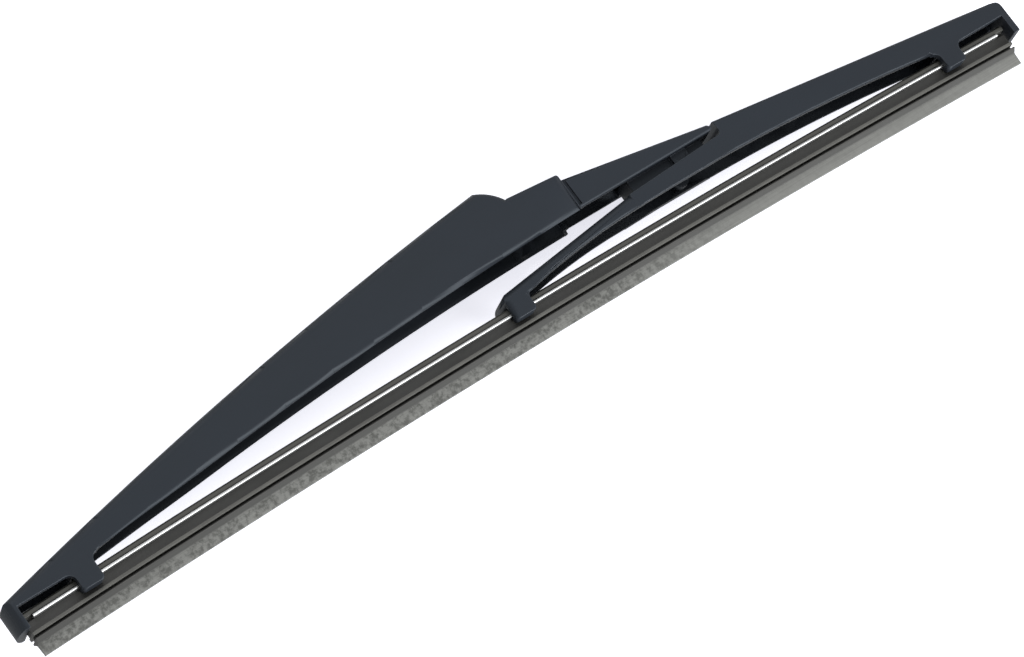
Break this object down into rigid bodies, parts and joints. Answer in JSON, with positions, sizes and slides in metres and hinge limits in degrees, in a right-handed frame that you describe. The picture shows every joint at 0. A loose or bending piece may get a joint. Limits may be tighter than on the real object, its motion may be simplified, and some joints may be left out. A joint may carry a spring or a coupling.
{
  "type": "wiper blade",
  "caption": "Rear-window wiper blade: a moulded arched lever with an open arm seat, a rocking yoke under its nose, and a rubber squeegee held by claws.",
  "frame": {"origin": "middle of the cross bar in the arm seat that the wiper arm clips on", "axes": "+X along the blade towards the nose and the yoke, +Y across the blade, +Z away from the glass"},
  "size_m": [0.3114, 0.0172, 0.0417],
  "materials": {
    "lever_plastic": "satin moulded, blue-black",
    "squeegee_rubber": "cured rubber with a dull graphite bloom",
    "spline_steel": "bright rolled stainless strip"
  },
  "bodies": {
    "bridge_body": {"main_lever": "lever_plastic", "squeegee": "squeegee_rubber", "front_spline": "spline_steel", "rear_spline": "spline_steel"},
    "yoke_body": {"yoke": "lever_plastic"}
  },
  "joints": [
    {"name": "yoke_pivot", "type": "hinge", "parent": "bridge_body", "child": "yoke_body", "pos_m": [0.0395, 0, -0.00975], "axis": [0, 1, 0], "range_deg": [-5, 5], "stiffness_Nm_per_rad": 0.6, "deforming": ["squeegee", "front_spline", "rear_spline"]}
  ]
}
